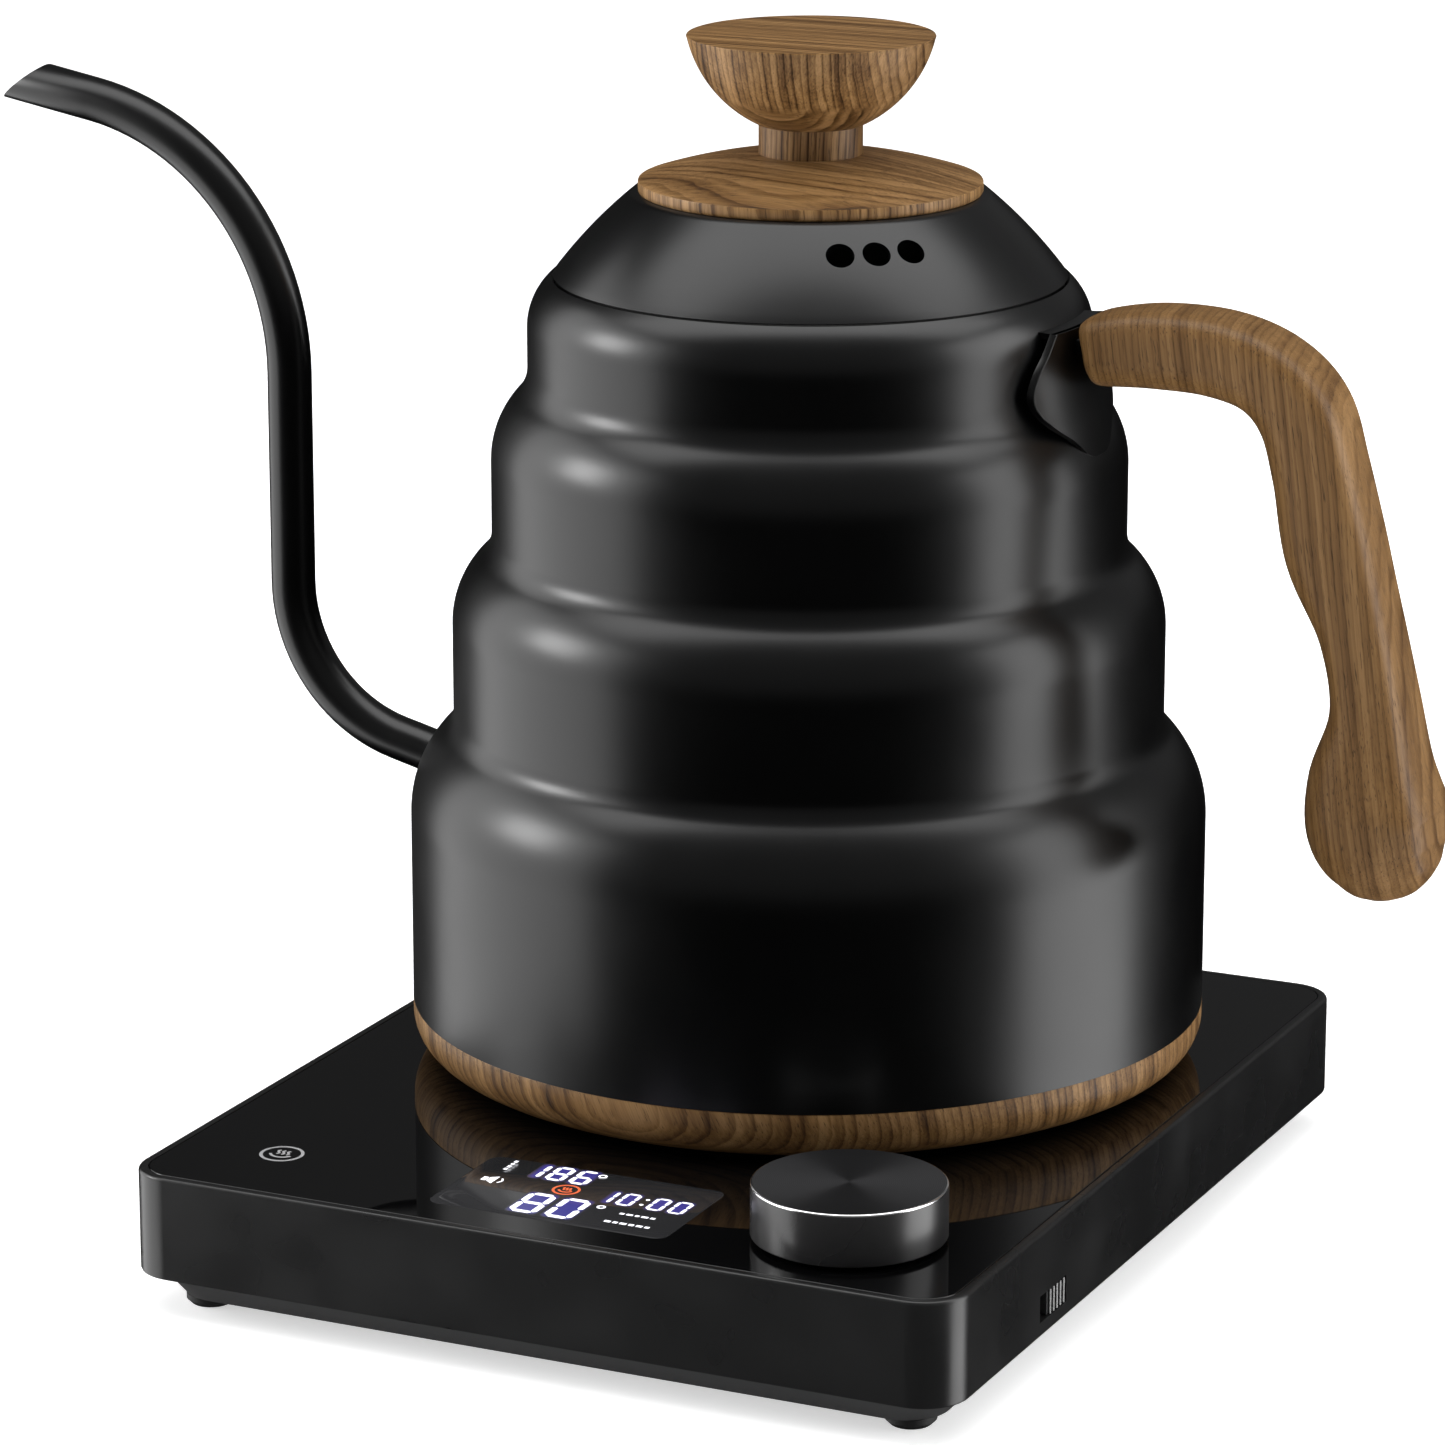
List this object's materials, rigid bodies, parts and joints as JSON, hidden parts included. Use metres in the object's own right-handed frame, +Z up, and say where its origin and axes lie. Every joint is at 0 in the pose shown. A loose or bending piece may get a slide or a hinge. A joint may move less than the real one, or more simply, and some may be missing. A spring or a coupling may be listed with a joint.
{
  "type": "electric kettle",
  "caption": "Gooseneck electric kettle in black steel with wooden handle and knob, on a flat glass-topped base with dial, touch key, slide switch and lit display.",
  "frame": {"origin": "centre of the whole object's footprint, on the surface the feet stand on", "axes": "+Z up; +X from the spout towards the handle; +Y from the dial and display towards the back of the base"},
  "size_m": [0.2972, 0.195, 0.2201],
  "materials": {
    "base_plastic": "satin black moulded plastic",
    "black_glass": "polished black glass, opaque from behind",
    "pan_plastic": "matte dark grey moulded plastic",
    "rubber_black": "matte black rubber",
    "screw_steel": "zinc-plated steel",
    "coupler_plastic": "black heat-resistant plastic",
    "contact_brass": "bright brass",
    "display_grey": "smoked grey display window with white and orange segments",
    "copper_pad": "bare copper",
    "circuit_board": "green solder mask",
    "relay_plastic": "dark moulded plastic",
    "transformer_tape": "yellow tape over a ferrite core",
    "encoder_metal": "stamped metal",
    "switch_plastic": "matte black plastic",
    "dial_metal": "black anodised, spun top with a bright cut edge",
    "black_enamel": "satin black coating on steel",
    "stainless": "brushed stainless steel",
    "spreader_aluminium": "cast aluminium",
    "element_steel": "oxidised steel sheath",
    "seal_rubber": "red silicone",
    "seal_rubber_grey": "dark grey silicone",
    "cutout_body": "brown phenolic",
    "walnut": "oiled walnut, fine open grain"
  },
  "bodies": {
    "base": {"base_housing": "base_plastic", "glass_top": "black_glass", "base_pan": "pan_plastic", "feet": "rubber_black", "pan_screws": "screw_steel", "base_coupler": "coupler_plastic", "coupler_contacts": "contact_brass", "display_module": "display_grey", "touch_pad": "copper_pad", "control_board": "circuit_board", "power_board": "circuit_board", "mains_relay": "relay_plastic", "board_transformer": "transformer_tape", "board_screws": "screw_steel", "encoder_body": "encoder_metal", "encoder_dome": "screw_steel", "buzzer": "relay_plastic", "switch_body": "switch_plastic", "cord_gland": "rubber_black"},
    "coupler_collar": {"coupler_collar": "coupler_plastic"},
    "dial_plunger": {"encoder_plunger": "encoder_metal"},
    "dial": {"dial_shaft": "screw_steel", "dial_knob": "dial_metal"},
    "switch_slider": {"switch_slider": "switch_plastic"},
    "kettle": {"kettle_shell": "black_enamel", "kettle_floor": "stainless", "heat_spreader": "spreader_aluminium", "heating_element": "element_steel", "temperature_probe": "stainless", "probe_seal": "seal_rubber", "dry_boil_cutout": "cutout_body", "kettle_socket": "coupler_plastic", "socket_contacts": "contact_brass", "bottom_cover": "pan_plastic", "kettle_pads": "rubber_black", "wood_base_ring": "walnut", "cover_screws": "screw_steel", "spout_tube": "black_enamel", "spout_strainer": "stainless", "handle_bracket": "black_enamel", "handle_grip": "walnut", "handle_screw": "screw_steel"},
    "lid": {"lid_cover": "black_enamel", "lid_skirt": "stainless", "lid_gasket": "seal_rubber_grey", "lid_disc": "walnut", "lid_knob": "walnut", "knob_insert": "contact_brass", "lid_screw": "screw_steel"}
  },
  "joints": [
    {"name": "kettle_swivel", "type": "hinge", "parent": "base", "child": "coupler_collar", "pos_m": [0.024, 0.0225, 0.0264], "axis": [0, 0, 1], "continuous": true},
    {"name": "kettle_lift", "type": "slide", "parent": "coupler_collar", "child": "kettle", "axis": [0, 0, 1], "range_m": [0, 0.06]},
    {"name": "lid_lift", "type": "slide", "parent": "kettle", "child": "lid", "axis": [0, 0, 1], "range_m": [0, 0.06]},
    {"name": "dial_press", "type": "slide", "parent": "base", "child": "dial_plunger", "axis": [0, 0, -1], "range_m": [0, 0.0005], "stiffness_N_per_m": 2000, "springref_m": -0.0005},
    {"name": "dial_turn", "type": "hinge", "parent": "dial_plunger", "child": "dial", "pos_m": [0.0755, -0.0734, 0.0264], "axis": [0, 0, 1], "continuous": true},
    {"name": "switch_slide", "type": "slide", "parent": "base", "child": "switch_slider", "axis": [0, -1, 0], "range_m": [0, 0.0036]}
  ]
}
